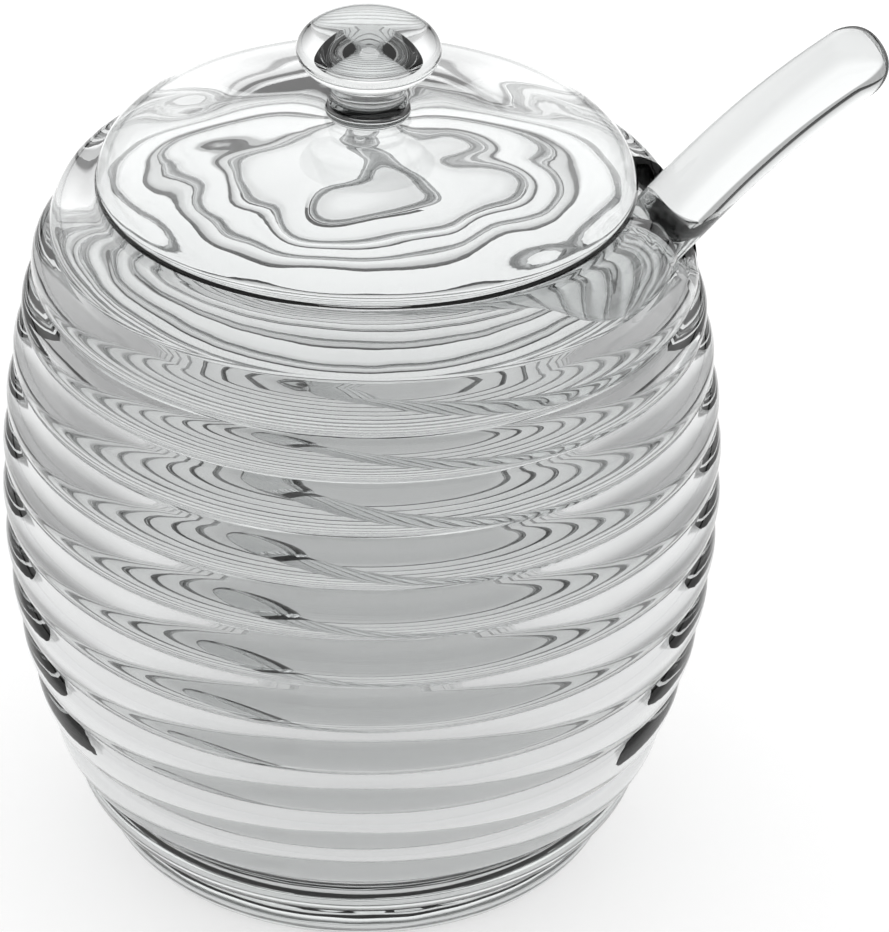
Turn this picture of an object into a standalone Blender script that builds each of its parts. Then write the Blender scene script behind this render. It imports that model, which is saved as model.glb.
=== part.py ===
"""Glass sugar bowl: a pot with coil-like ribs, a domed lid with a knob, and a glass spoon.

The origin is on the pot's axis, at the flat base that it stands on. +Z is up, and the spoon
leaves the pot at +X, through a notch in its lip. Lengths are in millimetres until a mesh is made.
"""

import math

import bmesh
import bpy
from mathutils import Matrix

MM = 0.001
GAP = 0.3
MERGE = 0.00001

# Pot
POT_STEPS = 48
BODY_RADIUS = 49.9
WIDEST_HEIGHT = 54.0
SWELL_BELOW = 74.5
SWELL_ABOVE = 81.0
COIL_COUNT = 10
COIL_PITCH = 7.39
COIL_ROWS = 4
LOWEST_GROOVE = 6.7
GROOVE_DEPTH = 1.9
SHOULDER_GROOVES = ((42.3, 93.6), (43.9, 86.4))
SHOULDER_BULGE = 2.1
BASE_RADIUS = 32.4
LIP_HEIGHT = 100.2
LIP_OUTER_RADIUS = 36.9
MOUTH_RADIUS = 33.4
MOUTH_BEVEL = 0.5
WALL = 4.0
FLOOR_HEIGHT = 8.0
FLOOR_FILLET = 9.0
INNER_SHOULDER_FOOT = 89.5
INNER_SHOULDER_TOP = 97.0
INNER_WALL_ROWS = 9
ARC_ROWS = 4

# Notch in the lip, for the spoon
NOTCH_RADIUS = 9.2
NOTCH_FLOOR_POINT = (41.0, 87.4)
NOTCH_SLOPE = math.radians(35.0)
NOTCH_STEPS = 32
NOTCH_REACH = 15.0

# Lid
LID_STEPS = 40
LID_RADIUS = 36.3
LID_SEAT = LIP_HEIGHT + GAP
LID_EDGE_HEIGHT = 0.8
LID_EDGE_ROUND = 0.3
DOME_RADIUS = 36.1
DOME_RISE = 9.4
DOME_THICKNESS = 3.4
DOME_ROWS = 10
HOLLOW_ROWS = 8
HOLLOW_RADIUS = 34.2
HOLLOW_POWER = 0.58
NECK_RADIUS = 5.3
NECK_WAIST = 5.0
NECK_RING_RADIUS = 5.7
NECK_RING_RISE = 0.2
NECK_FILLET = 1.6
KNOB_RADIUS = 9.6
KNOB_HALF_HEIGHT = 4.9
KNOB_CENTRE_HEIGHT = 119.9
KNOB_ROWS = 9

# Spoon
ROD_RADIUS = 5.0
ROD_SLOPE = math.radians(51.5)
TIP_SLOPE = math.radians(37.5)
REST_POINT = (41.1, 96.2)
HANDLE_LENGTH = 31.8
HANDLE_BEND_POWER = 1.3
HANDLE_POINTS = 8
HANDLE_END_POINTS = 4
HANDLE_END_ANGLE = math.radians(86.0)
HANDLE_END_FULLNESS = 0.8
STEM_LENGTH = 87.5
STEM_RADIUS = 3.8
STEM_TAPER_TOP = 0.3
STEM_TAPER_FOOT = 0.75
ROD_RESOLUTION = 4
SCOOP_LENGTH = 30.0
SCOOP_WIDTH = 22.0
SCOOP_DEPTH = 6.5
SCOOP_WALL = 2.4
SCOOP_OVERLAP = 6.0
SCOOP_SEGMENTS = 20
SCOOP_RINGS = 10
SCOOP_RIM_LEVEL = 0.01
SPOON_SHARP_ANGLE = math.radians(50.0)

GLASS_IOR = 1.5


def make_collection(name):
    collection = bpy.data.collections.new(name)
    bpy.context.scene.collection.children.link(collection)
    return collection


def make_glass(name, color, roughness):
    material = bpy.data.materials.new(name)
    material.use_nodes = True
    shader = material.node_tree.nodes["Principled BSDF"]
    shader.inputs["Base Color"].default_value = (*color, 1.0)
    shader.inputs["Roughness"].default_value = roughness
    shader.inputs["Metallic"].default_value = 0.0
    shader.inputs["IOR"].default_value = GLASS_IOR
    shader.inputs["Transmission Weight"].default_value = 1.0
    return material


def link_mesh(name, mesh, material, collection):
    mesh.materials.append(material)
    piece = bpy.data.objects.new(name, mesh)
    collection.objects.link(piece)
    return piece


def turn(name, profile, steps, material, collection):
    """A turned body. The profile is (radius, height) in mm, and goes down the outer side."""
    mesh = bpy.data.meshes.new(name)
    points = [(radius * MM, 0.0, height * MM) for radius, height in profile]
    edges = [(index, index + 1) for index in range(len(points) - 1)]
    mesh.from_pydata(points, edges, [])
    piece = link_mesh(name, mesh, material, collection)
    screw = piece.modifiers.new("turn", "SCREW")
    screw.axis = "Z"
    screw.steps = steps
    screw.render_steps = steps
    screw.use_merge_vertices = True
    screw.merge_threshold = MERGE
    screw.use_smooth_shade = True
    return piece


def subtract(piece, cutter, name):
    cutter.hide_render = True
    cutter.display_type = "WIRE"
    cut = piece.modifiers.new(name, "BOOLEAN")
    cut.operation = "DIFFERENCE"
    cut.object = cutter


def crest_radius(height):
    """Radius over the crests of the coils: two half ellipses that meet at the widest height."""
    swell = SWELL_ABOVE if height > WIDEST_HEIGHT else SWELL_BELOW
    share = (height - WIDEST_HEIGHT) / swell
    return BODY_RADIUS * math.sqrt(1.0 - share * share)


def coil(top, bottom, bulge, rows):
    """One round coil: an arc from just below its top groove down to its bottom groove."""
    half = 0.5 * math.hypot(bottom[0] - top[0], bottom[1] - top[1])
    down = (0.5 * (bottom[0] - top[0]) / half, 0.5 * (bottom[1] - top[1]) / half)
    curve = (half * half + bulge * bulge) / (2.0 * bulge)
    reach = math.asin(half / curve)
    points = []
    for row in range(1, rows + 1):
        angle = reach * (2.0 * row / rows - 1.0)
        along = half + curve * math.sin(angle)
        out = curve * math.cos(angle) - curve + bulge
        points.append((
            top[0] + down[0] * along - down[1] * out,
            top[1] + down[1] * along + down[0] * out))
    return points


def arc(centre, radii, start, end, rows):
    """Points of an elliptical arc, its ends among them. Angles are in degrees from +X."""
    points = []
    for row in range(rows + 1):
        angle = math.radians(start + (end - start) * row / rows)
        points.append((centre[0] + radii[0] * math.cos(angle), centre[1] + radii[1] * math.sin(angle)))
    return points


def pot_profile():
    wall_foot = FLOOR_HEIGHT + FLOOR_FILLET
    wall_foot_radius = crest_radius(wall_foot) - WALL
    fillet_centre = (wall_foot_radius - FLOOR_FILLET, wall_foot)
    profile = [(0.0, FLOOR_HEIGHT)]
    profile += arc(fillet_centre, (FLOOR_FILLET, FLOOR_FILLET), -90.0, 0.0, ARC_ROWS)

    for row in range(1, INNER_WALL_ROWS):
        height = wall_foot + (INNER_SHOULDER_FOOT - wall_foot) * row / INNER_WALL_ROWS
        profile.append((crest_radius(height) - WALL, height))

    shoulder_width = crest_radius(INNER_SHOULDER_FOOT) - WALL - MOUTH_RADIUS
    shoulder_rise = INNER_SHOULDER_TOP - INNER_SHOULDER_FOOT
    shoulder_centre = (MOUTH_RADIUS, INNER_SHOULDER_FOOT)
    profile += arc(shoulder_centre, (shoulder_width, shoulder_rise), 0.0, 90.0, ARC_ROWS)
    profile.append((MOUTH_RADIUS, LIP_HEIGHT - MOUTH_BEVEL))
    profile.append((MOUTH_RADIUS + MOUTH_BEVEL, LIP_HEIGHT))
    profile.append((LIP_OUTER_RADIUS, LIP_HEIGHT))

    grooves = list(SHOULDER_GROOVES)
    for index in range(COIL_COUNT, -1, -1):
        height = LOWEST_GROOVE + COIL_PITCH * index
        grooves.append((crest_radius(height) - GROOVE_DEPTH, height))
    grooves.append((BASE_RADIUS, 0.0))
    above = profile[-1]
    bulge = SHOULDER_BULGE
    for groove in grooves:
        profile += coil(above, groove, bulge, COIL_ROWS)
        above = groove
        bulge = GROOVE_DEPTH
    profile.append((0.0, 0.0))
    return profile


def make_pot(material, parts, cutters):
    pot = turn("pot", pot_profile(), POT_STEPS, material, parts)
    x = NOTCH_FLOOR_POINT[0] - NOTCH_RADIUS * math.sin(NOTCH_SLOPE)
    z = NOTCH_FLOOR_POINT[1] + NOTCH_RADIUS * math.cos(NOTCH_SLOPE)
    place = Matrix.Translation((x * MM, 0.0, z * MM))
    shape = bmesh.new()
    bmesh.ops.create_cone(
        shape, cap_ends=True, segments=NOTCH_STEPS,
        radius1=NOTCH_RADIUS * MM, radius2=NOTCH_RADIUS * MM, depth=2.0 * NOTCH_REACH * MM,
        matrix=place @ Matrix.Rotation(math.radians(90.0) - NOTCH_SLOPE, 4, "Y"))
    mesh = bpy.data.meshes.new("notch_cutter")
    shape.to_mesh(mesh)
    shape.free()
    notch = bpy.data.objects.new("notch_cutter", mesh)
    cutters.objects.link(notch)
    subtract(pot, notch, "notch")
    return pot


def dome(radius, rise, foot, sines):
    """A flattened dome, steep at its foot and almost level on top, at these shares of its spread."""
    points = []
    for sine in sines:
        cosine = math.sqrt(max(0.0, 1.0 - sine * sine))
        points.append((radius * math.sqrt(sine), foot + rise * cosine))
    return points


def lid_profile():
    knob_end = -math.degrees(math.acos(NECK_RADIUS / KNOB_RADIUS))
    profile = arc(
        (0.0, KNOB_CENTRE_HEIGHT), (KNOB_RADIUS, KNOB_HALF_HEIGHT), 90.0, knob_end, KNOB_ROWS)
    profile[0] = (0.0, KNOB_CENTRE_HEIGHT + KNOB_HALF_HEIGHT)

    edge_top = LID_SEAT + LID_EDGE_HEIGHT
    ring_height = edge_top + DOME_RISE + NECK_RING_RISE
    profile.append((NECK_WAIST, 0.5 * (profile[-1][1] + ring_height)))
    profile.append((NECK_RING_RADIUS, ring_height))
    first_sine = ((NECK_RING_RADIUS + NECK_FILLET) / DOME_RADIUS) ** 2
    first_angle = math.asin(first_sine)
    spread = 0.5 * math.pi - first_angle
    sines = [math.sin(first_angle + spread * row / DOME_ROWS) for row in range(DOME_ROWS + 1)]
    profile += dome(DOME_RADIUS, DOME_RISE, edge_top, sines)

    profile.append((LID_RADIUS, 0.5 * (edge_top + LID_SEAT)))
    profile.append((LID_RADIUS - LID_EDGE_ROUND, LID_SEAT))

    hollow_rise = edge_top + DOME_RISE - DOME_THICKNESS - LID_SEAT
    for row in range(HOLLOW_ROWS + 1):
        share = math.sin(0.5 * math.pi * (1.0 - row / HOLLOW_ROWS))
        rise = hollow_rise * max(0.0, 1.0 - share * share) ** HOLLOW_POWER
        profile.append((HOLLOW_RADIUS * share, LID_SEAT + rise))
    return profile


def handle_path():
    """Centre line of the rod above the notch: its slope eases from the stem's to the tip's."""
    points = []
    x, z = REST_POINT
    step = HANDLE_LENGTH / HANDLE_POINTS
    for index in range(HANDLE_POINTS):
        share = ((index + 0.5) / HANDLE_POINTS) ** HANDLE_BEND_POWER
        slope = ROD_SLOPE + (TIP_SLOPE - ROD_SLOPE) * share
        x += step * math.cos(slope)
        z += step * math.sin(slope)
        points.append((x, z, 1.0))
    for index in range(1, HANDLE_END_POINTS + 1):
        angle = HANDLE_END_ANGLE * index / HANDLE_END_POINTS
        reach = ROD_RADIUS * math.sin(angle)
        width = math.cos(angle) ** HANDLE_END_FULLNESS
        points.append((x + reach * math.cos(TIP_SLOPE), z + reach * math.sin(TIP_SLOPE), width))
    return points


def along_stem(distance):
    """A point of the stem, this far down from where it rests in the notch."""
    return (
        REST_POINT[0] - distance * math.cos(ROD_SLOPE),
        REST_POINT[1] - distance * math.sin(ROD_SLOPE))


def make_rod(collection):
    """The handle and stem as one tube that narrows towards the scoop."""
    stem_share = STEM_RADIUS / ROD_RADIUS
    path = []
    for share, width in (
            (1.0, stem_share), (STEM_TAPER_FOOT, stem_share), (STEM_TAPER_TOP, 1.0), (0.0, 1.0)):
        x, z = along_stem(STEM_LENGTH * share)
        path.append((x, z, width))
    path += handle_path()
    curve = bpy.data.curves.new("rod", "CURVE")
    curve.dimensions = "3D"
    curve.bevel_depth = ROD_RADIUS * MM
    curve.bevel_resolution = ROD_RESOLUTION
    curve.use_fill_caps = True
    spline = curve.splines.new("POLY")
    spline.points.add(len(path) - 1)
    for point, (x, z, width) in zip(spline.points, path):
        point.co = (x * MM, 0.0, z * MM, 1.0)
        point.radius = width
    guide = bpy.data.objects.new("rod", curve)
    collection.objects.link(guide)
    bpy.context.view_layer.update()
    mesh = bpy.data.meshes.new_from_object(guide.evaluated_get(bpy.context.evaluated_depsgraph_get()))
    bpy.data.objects.remove(guide)
    shape = bmesh.new()
    shape.from_mesh(mesh)
    bmesh.ops.remove_doubles(shape, verts=shape.verts, dist=MERGE)
    bmesh.ops.recalc_face_normals(shape, faces=shape.faces)
    shape.to_mesh(mesh)
    shape.free()
    return mesh


def make_scoop(collection):
    """The scoop: the lower half of a flattened sphere with a wall, its open side upwards."""
    shape = bmesh.new()
    bmesh.ops.create_uvsphere(
        shape, u_segments=SCOOP_SEGMENTS, v_segments=SCOOP_RINGS, radius=1.0)
    upper = [vertex for vertex in shape.verts if vertex.co.z > SCOOP_RIM_LEVEL]
    bmesh.ops.delete(shape, geom=upper, context="VERTS")
    bmesh.ops.scale(
        shape, verts=shape.verts,
        vec=(0.5 * SCOOP_LENGTH * MM, 0.5 * SCOOP_WIDTH * MM, SCOOP_DEPTH * MM))
    x, z = along_stem(STEM_LENGTH + 0.5 * SCOOP_LENGTH - SCOOP_OVERLAP)
    place = Matrix.Translation((x * MM, 0.0, z * MM)) @ Matrix.Rotation(-ROD_SLOPE, 4, "Y")
    bmesh.ops.transform(shape, verts=shape.verts, matrix=place)
    mesh = bpy.data.meshes.new("scoop")
    shape.to_mesh(mesh)
    shape.free()
    scoop = bpy.data.objects.new("scoop", mesh)
    collection.objects.link(scoop)
    wall = scoop.modifiers.new("wall", "SOLIDIFY")
    wall.thickness = SCOOP_WALL * MM
    wall.offset = -1.0
    scoop.hide_render = True
    scoop.display_type = "WIRE"
    return scoop


def make_spoon(material, parts, cutters):
    spoon = link_mesh("spoon", make_rod(parts), material, parts)
    scoop = make_scoop(cutters)
    join = spoon.modifiers.new("scoop", "BOOLEAN")
    join.operation = "UNION"
    join.object = scoop
    spoon.data.shade_smooth()
    spoon.data.set_sharp_from_angle(angle=SPOON_SHARP_ANGLE)
    return spoon


def main():
    for old in list(bpy.data.objects):
        bpy.data.objects.remove(old)
    parts = make_collection("glass_sugar_bowl")
    cutters = make_collection("cutters")
    pot_glass = make_glass("pot_glass", (0.93, 0.94, 0.94), 0.03)
    lid_glass = make_glass("lid_glass", (0.95, 0.96, 0.96), 0.02)
    spoon_glass = make_glass("spoon_glass", (0.94, 0.95, 0.95), 0.02)
    make_pot(pot_glass, parts, cutters)
    turn("lid", lid_profile(), LID_STEPS, lid_glass, parts)
    make_spoon(spoon_glass, parts, cutters)


main()
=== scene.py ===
import math

import bpy
from mathutils import Matrix, Vector, noise


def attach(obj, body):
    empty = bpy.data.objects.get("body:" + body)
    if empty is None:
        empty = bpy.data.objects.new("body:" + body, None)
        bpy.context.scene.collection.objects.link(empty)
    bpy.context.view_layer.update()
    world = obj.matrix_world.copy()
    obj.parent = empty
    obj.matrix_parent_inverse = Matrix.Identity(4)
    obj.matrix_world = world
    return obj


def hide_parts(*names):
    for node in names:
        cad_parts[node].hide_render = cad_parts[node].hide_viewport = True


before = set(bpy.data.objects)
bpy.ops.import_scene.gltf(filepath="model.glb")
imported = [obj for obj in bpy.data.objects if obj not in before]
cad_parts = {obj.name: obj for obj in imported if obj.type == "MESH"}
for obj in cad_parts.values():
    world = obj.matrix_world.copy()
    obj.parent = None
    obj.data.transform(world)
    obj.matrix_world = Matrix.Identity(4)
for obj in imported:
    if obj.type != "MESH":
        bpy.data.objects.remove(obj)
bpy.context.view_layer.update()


# The pot. A barrel of clear soda-lime glass, blown into a ringed mould that leaves its coils,
# with a thick flat foot. The lip is ground flat for the lid, and a notch for the spoon is cut
# in it and fire-polished.
MM = 0.001
MERGE = 0.000002
BODY_RADIUS = 49.9
WIDEST_HEIGHT = 54.0
SWELL_BELOW = 74.5
SWELL_ABOVE = 81.0
COIL_COUNT = 10
COIL_PITCH = 7.39
COIL_ROWS = 14
LOWEST_GROOVE = 6.7
GROOVE_DEPTH = 1.9
GROOVE_ROUND = 0.12
GROOVE_FILL = 0.25
SHOULDER_GROOVES = ((42.3, 93.6), (43.9, 86.4))
SHOULDER_BULGE = 2.1
FOOT_RADIUS = 32.4
FOOT_ROUND = 0.9
FOOT_EDGE = ((0.1, 0.35), (-0.3, 0.08), (-FOOT_ROUND, 0.0))
BASE_RING_RADIUS = 16.0
LIP_HEIGHT = 100.2
LIP_OUTER_RADIUS = 36.9
MOUTH_RADIUS = 33.4
MOUTH_ROUND = 0.5
MOUTH_ROWS = 4
WALL = 4.0
FLOOR_HEIGHT = 8.0
FLOOR_RING_RADII = (0.0, 10.0, 20.0)
FLOOR_FILLET = 9.0
FILLET_ROWS = 12
INNER_SHOULDER_FOOT = 89.5
INNER_SHOULDER_TOP = 97.0
INNER_SHOULDER_END = 84.0
INNER_SHOULDER_ROWS = 14
INNER_WALL_ROWS = 24
POT_STEPS = 160
SMOOTH_ANGLE = math.radians(40.0)
NOTCH_RADIUS = 9.2
NOTCH_FLOOR = (41.0, 87.4)
NOTCH_SLOPE = math.radians(35.0)
NOTCH_REACH = 15.0
NOTCH_RINGS = 60
NOTCH_SIDES = 96
NOTCH_ROUND = 1.3


def crest_radius(height):
    """Radius over the crests of the coils: two half ellipses that meet at the widest height."""
    swell = SWELL_ABOVE if height > WIDEST_HEIGHT else SWELL_BELOW
    share = (height - WIDEST_HEIGHT) / swell
    return BODY_RADIUS * math.sqrt(1.0 - share * share)


def arc(centre, radii, start, end, rows):
    """Points of an elliptical arc, its ends among them. Angles are in degrees from outwards."""
    points = []
    for row in range(rows + 1):
        angle = math.radians(start + (end - start) * row / rows)
        points.append((
            centre[0] + radii[0] * math.cos(angle), centre[1] + radii[1] * math.sin(angle)))
    return points


def coil_side(top, bottom, bulge):
    """One coil's round side, an arc between its two grooves, and the bottom of the lower one."""
    half = 0.5 * math.hypot(bottom[0] - top[0], bottom[1] - top[1])
    down = (0.5 * (bottom[0] - top[0]) / half, 0.5 * (bottom[1] - top[1]) / half)
    curve = (half * half + bulge * bulge) / (2.0 * bulge)
    reach = math.asin(half / curve) * (1.0 - GROOVE_ROUND / half)
    points = []
    for row in range(COIL_ROWS + 1):
        angle = reach * (2.0 * row / COIL_ROWS - 1.0)
        along = half + curve * math.sin(angle)
        out = curve * math.cos(angle) - curve + bulge
        points.append((
            top[0] + down[0] * along - down[1] * out,
            top[1] + down[1] * along + down[0] * out))
    points.append((bottom[0] + GROOVE_FILL * GROOVE_ROUND, bottom[1]))
    return points


def draw_profile(name, profile):
    """A line of points in the XZ plane, drawn by extruding one vertex from point to point."""
    bpy.ops.object.select_all(action="DESELECT")
    start = Vector((profile[0][0] * MM, 0.0, profile[0][1] * MM))
    bpy.ops.mesh.primitive_circle_add(vertices=3, radius=MM, location=start)
    piece = bpy.context.object
    piece.name = name
    bpy.ops.object.mode_set(mode="EDIT")
    bpy.ops.mesh.select_all(action="SELECT")
    bpy.ops.mesh.merge(type="CENTER")
    for here, there in zip(profile, profile[1:]):
        step = ((there[0] - here[0]) * MM, 0.0, (there[1] - here[1]) * MM)
        bpy.ops.mesh.extrude_vertices_move(TRANSFORM_OT_translate={"value": step})
    return piece


def turn_profile(name, profile, steps):
    """A turned piece of glass: the profile is spun round the pot's axis and closed."""
    piece = draw_profile(name, profile)
    bpy.ops.mesh.select_all(action="SELECT")
    bpy.ops.mesh.spin(
        steps=steps, angle=2.0 * math.pi, center=(0.0, 0.0, 0.0), axis=(0.0, 0.0, 1.0))
    bpy.ops.mesh.select_all(action="SELECT")
    bpy.ops.mesh.remove_doubles(threshold=MERGE)
    bpy.ops.mesh.normals_make_consistent(inside=False)
    bpy.ops.object.mode_set(mode="OBJECT")
    bpy.ops.object.transform_apply(location=True, rotation=True, scale=True)
    return piece


wall_foot = FLOOR_HEIGHT + FLOOR_FILLET
fillet_centre = (crest_radius(wall_foot) - WALL - FLOOR_FILLET, wall_foot)
pot_profile = [(radius, FLOOR_HEIGHT) for radius in FLOOR_RING_RADII]
pot_profile += arc(fillet_centre, (FLOOR_FILLET, FLOOR_FILLET), -90.0, 0.0, FILLET_ROWS)
for row in range(1, INNER_WALL_ROWS):
    height = wall_foot + (INNER_SHOULDER_FOOT - wall_foot) * row / INNER_WALL_ROWS
    pot_profile.append((crest_radius(height) - WALL, height))
shoulder_width = crest_radius(INNER_SHOULDER_FOOT) - WALL - MOUTH_RADIUS
shoulder_rise = INNER_SHOULDER_TOP - INNER_SHOULDER_FOOT
pot_profile += arc(
    (MOUTH_RADIUS, INNER_SHOULDER_FOOT), (shoulder_width, shoulder_rise),
    0.0, INNER_SHOULDER_END, INNER_SHOULDER_ROWS)
pot_profile.append((MOUTH_RADIUS, INNER_SHOULDER_TOP + MOUTH_ROUND))
lip_centre = (MOUTH_RADIUS + MOUTH_ROUND, LIP_HEIGHT - MOUTH_ROUND)
pot_profile += arc(lip_centre, (MOUTH_ROUND, MOUTH_ROUND), 180.0, 90.0, MOUTH_ROWS)
pot_profile.append((LIP_OUTER_RADIUS - MOUTH_ROUND, LIP_HEIGHT))
grooves = list(SHOULDER_GROOVES)
for index in range(COIL_COUNT, -1, -1):
    height = LOWEST_GROOVE + COIL_PITCH * index
    grooves.append((crest_radius(height) - GROOVE_DEPTH, height))
above = (LIP_OUTER_RADIUS, LIP_HEIGHT)
bulge = SHOULDER_BULGE
for groove in grooves:
    pot_profile += coil_side(above, groove, bulge)
    above = groove
    bulge = GROOVE_DEPTH
foot_side = coil_side(above, (FOOT_RADIUS, 0.0), GROOVE_DEPTH)
pot_profile += [point for point in foot_side if point[1] > FOOT_ROUND]
pot_profile += [(FOOT_RADIUS + outward, height) for outward, height in FOOT_EDGE]
pot_profile += [(BASE_RING_RADIUS, 0.0), (0.0, 0.0)]
pot = turn_profile("pot_ribbed_glass", pot_profile, POT_STEPS)


def extrude_rod(name, rings, sides):
    """A closed round rod in the XZ plane. Each ring is (x, z, slope, radius), foot first."""
    foot = rings[0]
    bpy.ops.object.select_all(action="DESELECT")
    bpy.ops.mesh.primitive_circle_add(
        vertices=sides, radius=foot[3] * MM, fill_type="NGON",
        location=(foot[0] * MM, 0.0, foot[1] * MM),
        rotation=(0.0, math.radians(90.0) - foot[2], 0.0))
    rod = bpy.context.object
    rod.name = name
    bpy.ops.object.transform_apply(location=True, rotation=True, scale=True)
    bpy.ops.object.mode_set(mode="EDIT")
    bpy.ops.mesh.select_all(action="SELECT")
    for here, there in zip(rings, rings[1:]):
        centre = (there[0] * MM, 0.0, there[1] * MM)
        step = ((there[0] - here[0]) * MM, 0.0, (there[1] - here[1]) * MM)
        bpy.ops.mesh.extrude_region_move(TRANSFORM_OT_translate={"value": step})
        growth = there[3] / here[3]
        if growth != 1.0:
            bpy.ops.transform.resize(value=(growth, growth, growth), center_override=centre)
        if there[2] != here[2]:
            bpy.ops.transform.rotate(
                value=there[2] - here[2], orient_axis="Y", orient_type="GLOBAL",
                center_override=centre)
    bpy.ops.mesh.select_all(action="SELECT")
    bpy.ops.mesh.normals_make_consistent(inside=False)
    bpy.ops.object.mode_set(mode="OBJECT")
    return rod


HIGHEST_CREST = 100.0
MEAN_GROOVE_SHARE = 0.35


def glass_depth(point):
    """How deep a point lies in the wall near the lip, in mm, and less than 0 outside it."""
    around = math.hypot(point[0], point[1])
    height = min(max(point[2], 0.0), HIGHEST_CREST)
    outer = crest_radius(height) - MEAN_GROOVE_SHARE * GROOVE_DEPTH
    lean = (height - WIDEST_HEIGHT) / SWELL_ABOVE
    upright = math.sqrt(1.0 - lean * lean)
    if height > INNER_SHOULDER_FOOT:
        rise = min(1.0, (height - INNER_SHOULDER_FOOT) / shoulder_rise)
        inner = MOUTH_RADIUS + shoulder_width * math.sqrt(1.0 - rise * rise)
    else:
        inner = crest_radius(height) - WALL
    return min((outer - around) * upright, (around - inner) * upright, LIP_HEIGHT - point[2])


notch_along = Vector((math.cos(NOTCH_SLOPE), 0.0, math.sin(NOTCH_SLOPE)))
notch_centre = Vector((
    NOTCH_FLOOR[0] - NOTCH_RADIUS * math.sin(NOTCH_SLOPE), 0.0,
    NOTCH_FLOOR[1] + NOTCH_RADIUS * math.cos(NOTCH_SLOPE)))
notch_rings = []
for ring in range(NOTCH_RINGS + 1):
    middle = notch_centre + notch_along * NOTCH_REACH * (2.0 * ring / NOTCH_RINGS - 1.0)
    notch_rings.append((middle.x, middle.z, NOTCH_SLOPE, NOTCH_RADIUS))
notch_tool = extrude_rod("notch_tool", notch_rings, NOTCH_SIDES)
for corner in notch_tool.data.vertices:
    place = corner.co / MM
    middle = notch_centre + notch_along * notch_along.dot(place - notch_centre)
    short = min(max(NOTCH_ROUND - glass_depth(place), 0.0), NOTCH_ROUND)
    flare = NOTCH_ROUND - math.sqrt(NOTCH_ROUND ** 2 - short ** 2)
    corner.co = (place + (place - middle).normalized() * flare) * MM
bpy.ops.object.select_all(action="DESELECT")
pot.select_set(True)
bpy.context.view_layer.objects.active = pot
notch = pot.modifiers.new("notch", "BOOLEAN")
notch.operation = "DIFFERENCE"
notch.object = notch_tool
bpy.ops.object.modifier_apply(modifier=notch.name)
bpy.data.objects.remove(notch_tool)
bpy.ops.object.shade_smooth_by_angle(angle=SMOOTH_ANGLE)


def linear(hex_colour):
    """An sRGB hex colour as linear red, green, blue and full opacity."""
    parts = [int(hex_colour[index:index + 2], 16) / 255.0 for index in (1, 3, 5)]
    return [
        part / 12.92 if part <= 0.04045 else ((part + 0.055) / 1.055) ** 2.4
        for part in parts] + [1.0]


def add_node(tree, kind, settings=(), links=()):
    """Adds one node. Settings are its own values or those of its sockets. Each link is the
    source node, the source's socket and the new node's socket."""
    node = tree.nodes.new(kind)
    for name, value in dict(settings).items():
        if name in node.inputs:
            node.inputs[name].default_value = value
        else:
            setattr(node, name, value)
    for source, output, target in links:
        tree.links.new(source.outputs[output], node.inputs[target])
    return node


def new_material(name):
    material = bpy.data.materials.new(name)
    material.use_nodes = True
    return material, material.node_tree, material.node_tree.nodes["Principled BSDF"]


GLASS_GREY = "#CBCECD"


def clear_glass(name, tint, density, wave_mm, wave_depth_mm):
    """Clear soda-lime glass, a little grey where it is thick. Its surface is smooth to the touch
    but never quite even: slow waves left from its making bend what is seen through it."""
    material, tree, shader = new_material(name)
    body = add_node(
        tree, "ShaderNodeVolumeAbsorption", {"Color": linear(GLASS_GREY), "Density": density})
    tree.links.new(body.outputs["Volume"], tree.nodes["Material Output"].inputs["Volume"])
    shader.inputs["Base Color"].default_value = linear(tint)
    shader.inputs["Metallic"].default_value = 0.0
    shader.inputs["Roughness"].default_value = 0.0
    shader.inputs["IOR"].default_value = 1.5
    shader.inputs["Transmission Weight"].default_value = 1.0
    place = add_node(tree, "ShaderNodeTexCoord")
    waves = add_node(
        tree, "ShaderNodeTexNoise",
        {"Scale": 1.0 / (wave_mm * MM), "Detail": 1.0, "Roughness": 0.4},
        [(place, "Object", "Vector")])
    bump = add_node(
        tree, "ShaderNodeBump",
        {"Strength": 1.0, "Distance": wave_depth_mm * MM},
        [(waves, "Fac", "Height")])
    tree.links.new(bump.outputs["Normal"], shader.inputs["Normal"])
    return material


pot_glass = clear_glass(
    "soda_lime_glass_mould_blown", tint="#E3E4E4", density=10.0, wave_mm=9.0, wave_depth_mm=0.06)
pot.data.materials.clear()
pot.data.materials.append(pot_glass)
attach(pot, "root")
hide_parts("pot")


# The lid. One piece of pressed glass: a low hollow dome with a round knob on a short neck. It
# rests on the ground lip by its flat edge. The inside of the dome was left a little uneven, more
# so in its front half.
LID_STEPS = 144
LID_RADIUS = 36.3
LID_SEAT = 100.5
LID_EDGE_HEIGHT = 0.8
LID_EDGE_ROUND = 0.3
LID_EDGE_ROWS = 4
DOME_RADIUS = 36.1
DOME_RISE = 9.4
DOME_THICKNESS = 3.4
DOME_ROWS = 36
HOLLOW_RADIUS = 34.2
HOLLOW_POWER = 0.58
HOLLOW_START = 0.7
HOLLOW_ROWS = 40
HOLLOW_EDGE_END = -150.0
HOLLOW_EDGE_ROWS = 3
RIPPLE_SIZE = 11.5
RIPPLE_DEPTH = 0.6
RIPPLE_REACH = 33.5
RIPPLE_FADE = 0.7
RIPPLE_BACK = 24.0
RIPPLE_SHIFT = (3.1, 7.7, 0.5)
LEVEL_MATCH = 0.05
NECK_RADIUS = 5.3
NECK_WAIST = 5.0
NECK_RING_RADIUS = 5.7
NECK_RING_RISE = 0.2
NECK_RING_TOP = 1.2
NECK_RING_CENTRE = (-0.2, 0.3)
NECK_RING_SECTION = (0.6, 0.8)
NECK_RING_ENDS = (80.0, -60.0)
NECK_FILLET = 1.6
NECK_ROWS = 8
KNOB_RADIUS = 9.6
KNOB_HALF_HEIGHT = 4.9
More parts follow.
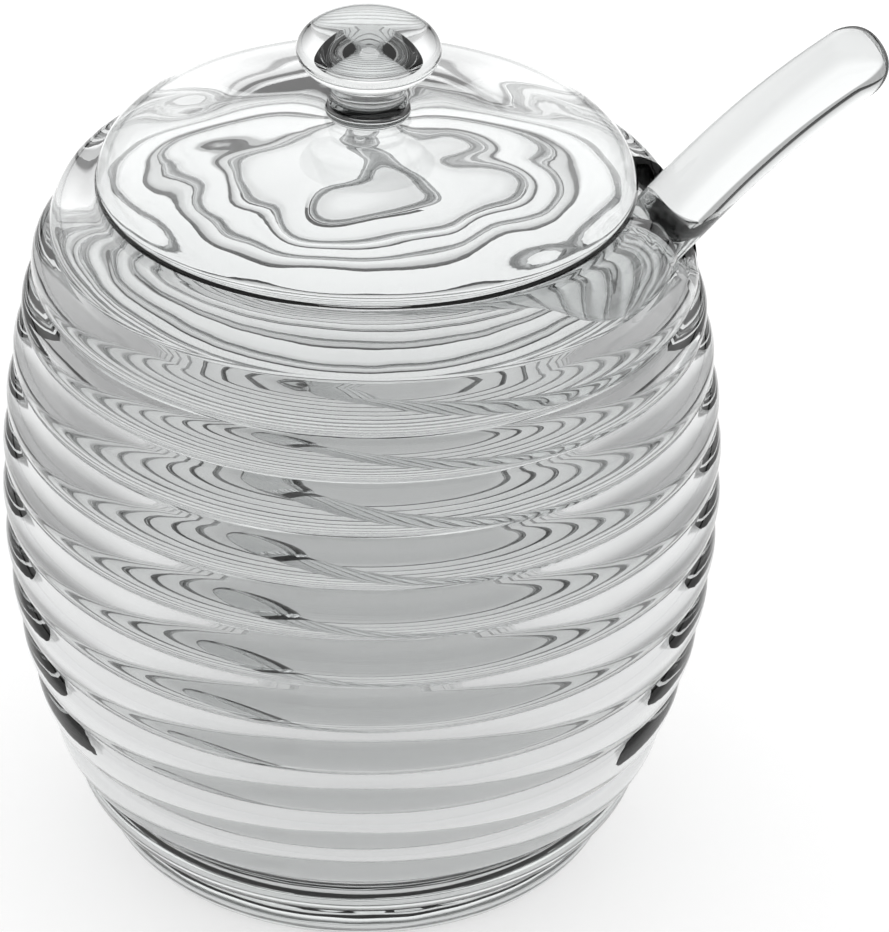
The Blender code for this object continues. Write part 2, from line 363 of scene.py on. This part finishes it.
KNOB_CENTRE_HEIGHT = 119.9
KNOB_ROWS = 30


def dome(radius, rise, foot, first_angle, last_angle, rows):
    """A flattened dome, steep at its foot and almost level on top."""
    points = []
    for row in range(rows + 1):
        angle = first_angle + (last_angle - first_angle) * row / rows
        sine = max(0.0, math.sin(angle))
        cosine = math.sqrt(max(0.0, 1.0 - sine * sine))
        points.append((radius * math.sqrt(sine), foot + rise * cosine))
    return points


knob_end = -math.degrees(math.acos(NECK_RADIUS / KNOB_RADIUS))
lid_profile = arc(
    (0.0, KNOB_CENTRE_HEIGHT), (KNOB_RADIUS, KNOB_HALF_HEIGHT), 90.0, knob_end, KNOB_ROWS)
lid_profile[0] = (0.0, KNOB_CENTRE_HEIGHT + KNOB_HALF_HEIGHT)
neck_top = lid_profile[-1][1]
edge_top = LID_SEAT + LID_EDGE_HEIGHT
ring_height = edge_top + DOME_RISE + NECK_RING_RISE
for row in range(1, NECK_ROWS):
    share = row / NECK_ROWS
    waist = (NECK_RADIUS - NECK_WAIST) * 4.0 * share * (1.0 - share)
    height = neck_top + (ring_height + NECK_RING_TOP - neck_top) * share
    lid_profile.append((NECK_RADIUS - waist, height))
ring_centre = (NECK_RADIUS + NECK_RING_CENTRE[0], ring_height + NECK_RING_CENTRE[1])
lid_profile += arc(
    ring_centre, NECK_RING_SECTION, NECK_RING_ENDS[0], NECK_RING_ENDS[1], NECK_ROWS)
first_angle = math.asin(((NECK_RING_RADIUS + NECK_FILLET) / DOME_RADIUS) ** 2)
lid_profile += dome(DOME_RADIUS, DOME_RISE, edge_top, first_angle, 0.5 * math.pi, DOME_ROWS)
edge_section = (LID_EDGE_ROUND, LID_EDGE_ROUND)
outer_edge = (LID_RADIUS - LID_EDGE_ROUND, LID_SEAT + LID_EDGE_ROUND)
inner_edge = (HOLLOW_RADIUS + LID_EDGE_ROUND, LID_SEAT + LID_EDGE_ROUND)
lid_profile += arc(outer_edge, edge_section, 0.0, -90.0, LID_EDGE_ROWS)
lid_profile += arc(inner_edge, edge_section, -90.0, HOLLOW_EDGE_END, HOLLOW_EDGE_ROWS)
hollow_rise = edge_top + DOME_RISE - DOME_THICKNESS - LID_SEAT


def hollow_height(share):
    """Height of the lid's inside, at this share of the hollow's radius."""
    return LID_SEAT + hollow_rise * (1.0 - share ** 2) ** HOLLOW_POWER


for row in range(HOLLOW_ROWS):
    turned = (row + HOLLOW_START) / (HOLLOW_ROWS - 1 + HOLLOW_START)
    share = math.sin(0.5 * math.pi * (1.0 - turned))
    lid_profile.append((HOLLOW_RADIUS * share, hollow_height(share)))
lid = turn_profile("lid_domed_glass", lid_profile, LID_STEPS)

for corner in lid.data.vertices:
    around = math.hypot(corner.co.x, corner.co.y) / MM
    level = hollow_height(min(1.0, around / HOLLOW_RADIUS))
    if around < RIPPLE_REACH and abs(corner.co.z / MM - level) < LEVEL_MATCH:
        spot = Vector((corner.co.x, corner.co.y, 0.0)) / (RIPPLE_SIZE * MM) + Vector(RIPPLE_SHIFT)
        fade = (1.0 - (around / RIPPLE_REACH) ** 2) ** RIPPLE_FADE
        fade *= min(1.0, max(0.0, 1.0 - corner.co.y / (RIPPLE_BACK * MM)))
        corner.co.z += RIPPLE_DEPTH * MM * fade * noise.noise(spot)
bpy.ops.object.shade_smooth_by_angle(angle=SMOOTH_ANGLE)
lid_glass = clear_glass(
    "soda_lime_glass_pressed", tint="#F6F7F7", density=12.0, wave_mm=14.0, wave_depth_mm=0.12)
lid.data.materials.clear()
lid.data.materials.append(lid_glass)
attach(lid, "root")
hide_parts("lid")


# The spoon. A thick drawn rod of clear glass, bent a little at its end and rounded off in the
# flame, with a small scoop pressed on its other end. It leans in the notch.
ROD_RADIUS = 5.0
ROD_SLOPE = math.radians(51.5)
TIP_SLOPE = math.radians(37.5)
REST_POINT = (41.1, 96.2)
HANDLE_LENGTH = 31.8
HANDLE_BEND_POWER = 1.3
HANDLE_RINGS = 32
HANDLE_END_RINGS = 12
HANDLE_END_ANGLE = math.radians(86.0)
HANDLE_END_FULLNESS = 0.8
STEM_LENGTH = 87.5
STEM_RADIUS = 3.8
STEM_TAPER_TOP = 0.3
STEM_TAPER_FOOT = 0.75
STEM_RINGS = 24
ROD_SIDES = 48
SCOOP_LENGTH = 30.0
SCOOP_WIDTH = 22.0
SCOOP_DEPTH = 6.5
SCOOP_WALL = 2.4
SCOOP_OVERLAP = 6.0
SCOOP_SEGMENTS = 48
SCOOP_RINGS = 32
SCOOP_RIM_LEVEL = 0.02
SCOOP_RIM_ROUND = 0.7
SCOOP_RIM_ROWS = 3
SPOON_EDGE_ANGLE = math.radians(50.0)


def along_stem(distance):
    """A point of the stem, this far down from where it rests in the notch."""
    return (
        REST_POINT[0] - distance * math.cos(ROD_SLOPE),
        REST_POINT[1] - distance * math.sin(ROD_SLOPE))


rings = []
for ring in range(STEM_RINGS + 1):
    share = 1.0 - ring / STEM_RINGS
    taper = min(1.0, max(0.0, (share - STEM_TAPER_TOP) / (STEM_TAPER_FOOT - STEM_TAPER_TOP)))
    eased = taper * taper * (3.0 - 2.0 * taper)
    x, z = along_stem(STEM_LENGTH * share)
    rings.append((x, z, ROD_SLOPE, ROD_RADIUS + (STEM_RADIUS - ROD_RADIUS) * eased))
x, z = REST_POINT
for ring in range(HANDLE_RINGS):
    slope = ROD_SLOPE + (TIP_SLOPE - ROD_SLOPE) * ((ring + 0.5) / HANDLE_RINGS) ** HANDLE_BEND_POWER
    x += HANDLE_LENGTH / HANDLE_RINGS * math.cos(slope)
    z += HANDLE_LENGTH / HANDLE_RINGS * math.sin(slope)
    rings.append((x, z, slope, ROD_RADIUS))
for ring in range(1, HANDLE_END_RINGS + 1):
    angle = HANDLE_END_ANGLE * ring / HANDLE_END_RINGS
    reach = ROD_RADIUS * math.sin(angle)
    width = ROD_RADIUS * math.cos(angle) ** HANDLE_END_FULLNESS
    rings.append((
        x + reach * math.cos(TIP_SLOPE), z + reach * math.sin(TIP_SLOPE), TIP_SLOPE, width))
spoon = extrude_rod("spoon_drawn_glass", rings, ROD_SIDES)

scoop_x, scoop_z = along_stem(STEM_LENGTH + 0.5 * SCOOP_LENGTH - SCOOP_OVERLAP)
bpy.ops.object.select_all(action="DESELECT")
bpy.ops.mesh.primitive_uv_sphere_add(
    segments=SCOOP_SEGMENTS, ring_count=SCOOP_RINGS, radius=1.0, location=(0.0, 0.0, 0.0))
scoop = bpy.context.object
bpy.ops.object.mode_set(mode="EDIT")
bpy.ops.mesh.select_all(action="SELECT")
bpy.ops.mesh.bisect(
    plane_co=(0.0, 0.0, SCOOP_RIM_LEVEL), plane_no=(0.0, 0.0, 1.0), clear_outer=True)
bpy.ops.object.mode_set(mode="OBJECT")
scoop.scale = (0.5 * SCOOP_LENGTH * MM, 0.5 * SCOOP_WIDTH * MM, SCOOP_DEPTH * MM)
scoop.location = (scoop_x * MM, 0.0, scoop_z * MM)
scoop.rotation_euler = (0.0, -ROD_SLOPE, 0.0)
bpy.ops.object.transform_apply(location=True, rotation=True, scale=True)
wall = scoop.modifiers.new("wall", "SOLIDIFY")
wall.thickness = SCOOP_WALL * MM
wall.offset = -1.0
bpy.ops.object.modifier_apply(modifier=wall.name)
rim = scoop.modifiers.new("rim", "BEVEL")
rim.width = SCOOP_RIM_ROUND * MM
rim.segments = SCOOP_RIM_ROWS
rim.limit_method = "ANGLE"
rim.angle_limit = SPOON_EDGE_ANGLE
bpy.ops.object.modifier_apply(modifier=rim.name)
bpy.ops.object.select_all(action="DESELECT")
spoon.select_set(True)
bpy.context.view_layer.objects.active = spoon
join = spoon.modifiers.new("scoop", "BOOLEAN")
join.operation = "UNION"
join.object = scoop
bpy.ops.object.modifier_apply(modifier=join.name)
bpy.data.objects.remove(scoop)
bpy.ops.object.shade_smooth_by_angle(angle=SPOON_EDGE_ANGLE)
spoon_glass = clear_glass(
    "soda_lime_glass_drawn_rod", tint="#F2F3F3", density=30.0, wave_mm=18.0, wave_depth_mm=0.1)
spoon.data.materials.clear()
spoon.data.materials.append(spoon_glass)
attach(spoon, "root")
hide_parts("spoon")


# The floor. A plain pale sheet of opal acrylic, cast with a satin face, whose grain is drawn
# coarser than it is. Its own colour is a mid grey. A strip beneath and behind the pot glows with
# painted light,
# though no lamp is there: it fills the pot's shadow so the floor stays bright under the glass, and
# it is painted brighter behind the pot.
FLOOR_SIZE = 6.0
FLOOR_DROP = 0.0003
PAINTED_GLOW_UNDER_POT = 0.62
PAINTED_GLOW_AT_EDGES = 0.05
GLOW_HALF_WIDTH = 0.1
GLOW_FRONT = -0.04
GLOW_BACK = 0.25
GLOW_FADE = 0.1
PAINTED_GLOW_BEHIND_POT = 1.35
SATIN_GRAIN = 0.6
SATIN_DEPTH = 0.01


def smooth_range(tree, source, reach, values):
    """Goes smoothly from one value to the other as the source node's output crosses the reach."""
    return add_node(
        tree, "ShaderNodeMapRange",
        {"interpolation_type": "SMOOTHSTEP", "From Min": reach[0], "From Max": reach[1],
         "To Min": values[0], "To Max": values[1]},
        [(source[0], source[1], "Value")])


bpy.ops.object.select_all(action="DESELECT")
bpy.ops.mesh.primitive_plane_add(size=FLOOR_SIZE, location=(0.0, 0.0, -FLOOR_DROP))
floor = bpy.context.object
floor.name = "pale_floor_painted_glow"
opal, tree, shader = new_material("opal_acrylic_satin_painted_glow")
# The floor's own mid grey. The painted glow below makes it look white.
shader.inputs["Base Color"].default_value = linear("#B2B2B2")
shader.inputs["Roughness"].default_value = 0.7
shader.inputs["Specular IOR Level"].default_value = 0.2
shader.inputs["Emission Color"].default_value = linear("#FFFFFF")
place = add_node(tree, "ShaderNodeTexCoord")
across = add_node(tree, "ShaderNodeSeparateXYZ", links=[(place, "Object", "Vector")])
aside = add_node(tree, "ShaderNodeMath", {"operation": "ABSOLUTE"}, [(across, "X", 0)])
sideways = smooth_range(
    tree, (aside, "Value"), (GLOW_HALF_WIDTH, GLOW_HALF_WIDTH + GLOW_FADE),
    (PAINTED_GLOW_UNDER_POT, PAINTED_GLOW_AT_EDGES))
forwards = smooth_range(
    tree, (across, "Y"), (GLOW_FRONT - GLOW_FADE, GLOW_FRONT), (PAINTED_GLOW_AT_EDGES, 1.0))
backwards = smooth_range(
    tree, (across, "Y"), (GLOW_BACK - GLOW_FADE, GLOW_BACK), (1.0, PAINTED_GLOW_BEHIND_POT))
middle = add_node(
    tree, "ShaderNodeMath", {"operation": "MULTIPLY"},
    [(sideways, "Result", 0), (forwards, "Result", 1)])
painted_glow = add_node(
    tree, "ShaderNodeMath", {"operation": "MULTIPLY"},
    [(middle, "Value", 0), (backwards, "Result", 1)])
# Painted light: the emission strength is a painted glow. It is strongest behind the pot, a little
# weaker under it, and faint at the sides and in front.
tree.links.new(painted_glow.outputs["Value"], shader.inputs["Emission Strength"])
satin = add_node(
    tree, "ShaderNodeTexNoise", {"Scale": 1.0 / (SATIN_GRAIN * MM), "Detail": 2.0},
    [(place, "Object", "Vector")])
satin_bump = add_node(
    tree, "ShaderNodeBump", {"Strength": 1.0, "Distance": SATIN_DEPTH * MM},
    [(satin, "Fac", "Height")])
tree.links.new(satin_bump.outputs["Normal"], shader.inputs["Normal"])
floor.data.materials.append(opal)


# The light. A white tent that is open towards the camera, where the room is dim: bright cloth
# behind and overhead, and a dark gap where the floor ends and the cloth begins.
FRONT_LIGHT = 0.4
BACK_LIGHT = 1.7
OVERHEAD_LIGHT = 1.05
WALL_REACH = (-0.6, 0.8)
ROOF_REACH = (0.4, 0.75)
HEM = ((0.0, 0.02), (0.03, 0.03), (0.06, 0.45), (0.2, 0.7), (0.4, 1.0))
world = bpy.data.worlds.new("white_tent")
bpy.context.scene.world = world
world.use_nodes = True
tree = world.node_tree
place = add_node(tree, "ShaderNodeTexCoord")
along = add_node(tree, "ShaderNodeSeparateXYZ", links=[(place, "Generated", "Vector")])
walls = smooth_range(tree, (along, "Y"), WALL_REACH, (FRONT_LIGHT, BACK_LIGHT))
hem = add_node(tree, "ShaderNodeValToRGB", links=[(along, "Z", "Fac")])
while len(hem.color_ramp.elements) < len(HEM):
    hem.color_ramp.elements.new(1.0)
for stop, (height, share) in zip(hem.color_ramp.elements, HEM):
    stop.position = height
    stop.color = (share, share, share, 1.0)
lower = add_node(
    tree, "ShaderNodeMath", {"operation": "MULTIPLY"}, [(walls, "Result", 0), (hem, "Color", 1)])
roof = smooth_range(tree, (along, "Z"), ROOF_REACH, (0.0, 1.0))
light = add_node(
    tree, "ShaderNodeMix", {"data_type": "FLOAT"}, [(roof, "Result", 0), (lower, "Value", 2)])
light.inputs[3].default_value = OVERHEAD_LIGHT
tree.links.new(light.outputs[0], tree.nodes["Background"].inputs["Strength"])
tree.nodes["Background"].inputs["Color"].default_value = linear("#FFFFFF")


# The camera, at the photograph's viewing angle and with its frame.
CAMERA_PLACE = (0.0, -0.5001, 0.3593)
CAMERA_PITCH = math.radians(31.23)
CAMERA_YAW = math.radians(1.31)
CAMERA_ROLL = math.radians(1.57)
FOCAL_PIXELS = 4200.0
FRAME_HEIGHT_PIXELS = 932.0
FILM_MM = 36.0
forward = Vector((
    math.sin(CAMERA_YAW) * math.cos(CAMERA_PITCH),
    math.cos(CAMERA_YAW) * math.cos(CAMERA_PITCH),
    -math.sin(CAMERA_PITCH)))
level = Vector((math.cos(CAMERA_YAW), -math.sin(CAMERA_YAW), 0.0))
upward = level.cross(forward)
right = level * math.cos(CAMERA_ROLL) + upward * math.sin(CAMERA_ROLL)
above = upward * math.cos(CAMERA_ROLL) - level * math.sin(CAMERA_ROLL)
lens = bpy.data.cameras.new("camera")
lens.sensor_fit = "AUTO"
lens.sensor_width = FILM_MM
lens.lens = FOCAL_PIXELS / FRAME_HEIGHT_PIXELS * FILM_MM
lens.clip_start = 0.01
lens.clip_end = 50.0
camera = bpy.data.objects.new("camera", lens)
bpy.context.scene.collection.objects.link(camera)
turned = Matrix((right, above, -forward)).transposed().to_4x4()
camera.matrix_world = Matrix.Translation(CAMERA_PLACE) @ turned
bpy.context.scene.camera = camera
bpy.context.scene.view_settings.view_transform = "Standard"
